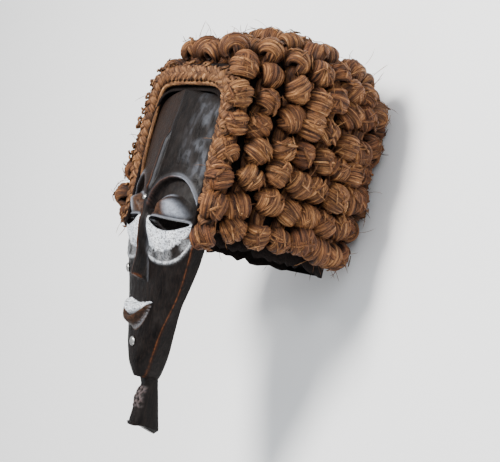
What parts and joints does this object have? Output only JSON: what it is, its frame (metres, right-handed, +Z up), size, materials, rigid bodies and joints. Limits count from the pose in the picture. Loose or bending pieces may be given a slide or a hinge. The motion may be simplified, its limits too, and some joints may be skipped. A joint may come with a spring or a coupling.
{
  "type": "face mask with raffia wig",
  "caption": "Lele carved wooden face mask with pierced eyes, domed metal tacks, a plaited edge and a deep hood wig of knotted raffia, lying on the back of its wig.",
  "frame": {"origin": "on the surface the mask lies on, under the middle of its box", "axes": "+Z up, out of the face as it lies; +Y towards the crown of the head, -Y towards the chin post; +X to the mask's own left"},
  "size_m": [0.2442, 0.4772, 0.2545],
  "materials": {
    "stained_wood": "dark stained, rubbed to a soft shine, worn brown on edges, white pigment by the eyes and on the upper lip",
    "tack_metal": "dull pewter grey, tarnished",
    "plaited_raffia": "light tan fibre in three plaited strands",
    "knotted_raffia": "brown raffia fibre in tight knots, darker and redder below",
    "dark_net": "near-black netted fibre, ragged at the hem"
  },
  "bodies": {
    "root": {"carved_face": "stained_wood", "tack_bridge": "tack_metal", "tack_cheek": "tack_metal", "tack_chin": "tack_metal", "raffia_braid": "plaited_raffia", "raffia_knots": "knotted_raffia", "net_lining": "dark_net"}
  },
  "joints": []
}
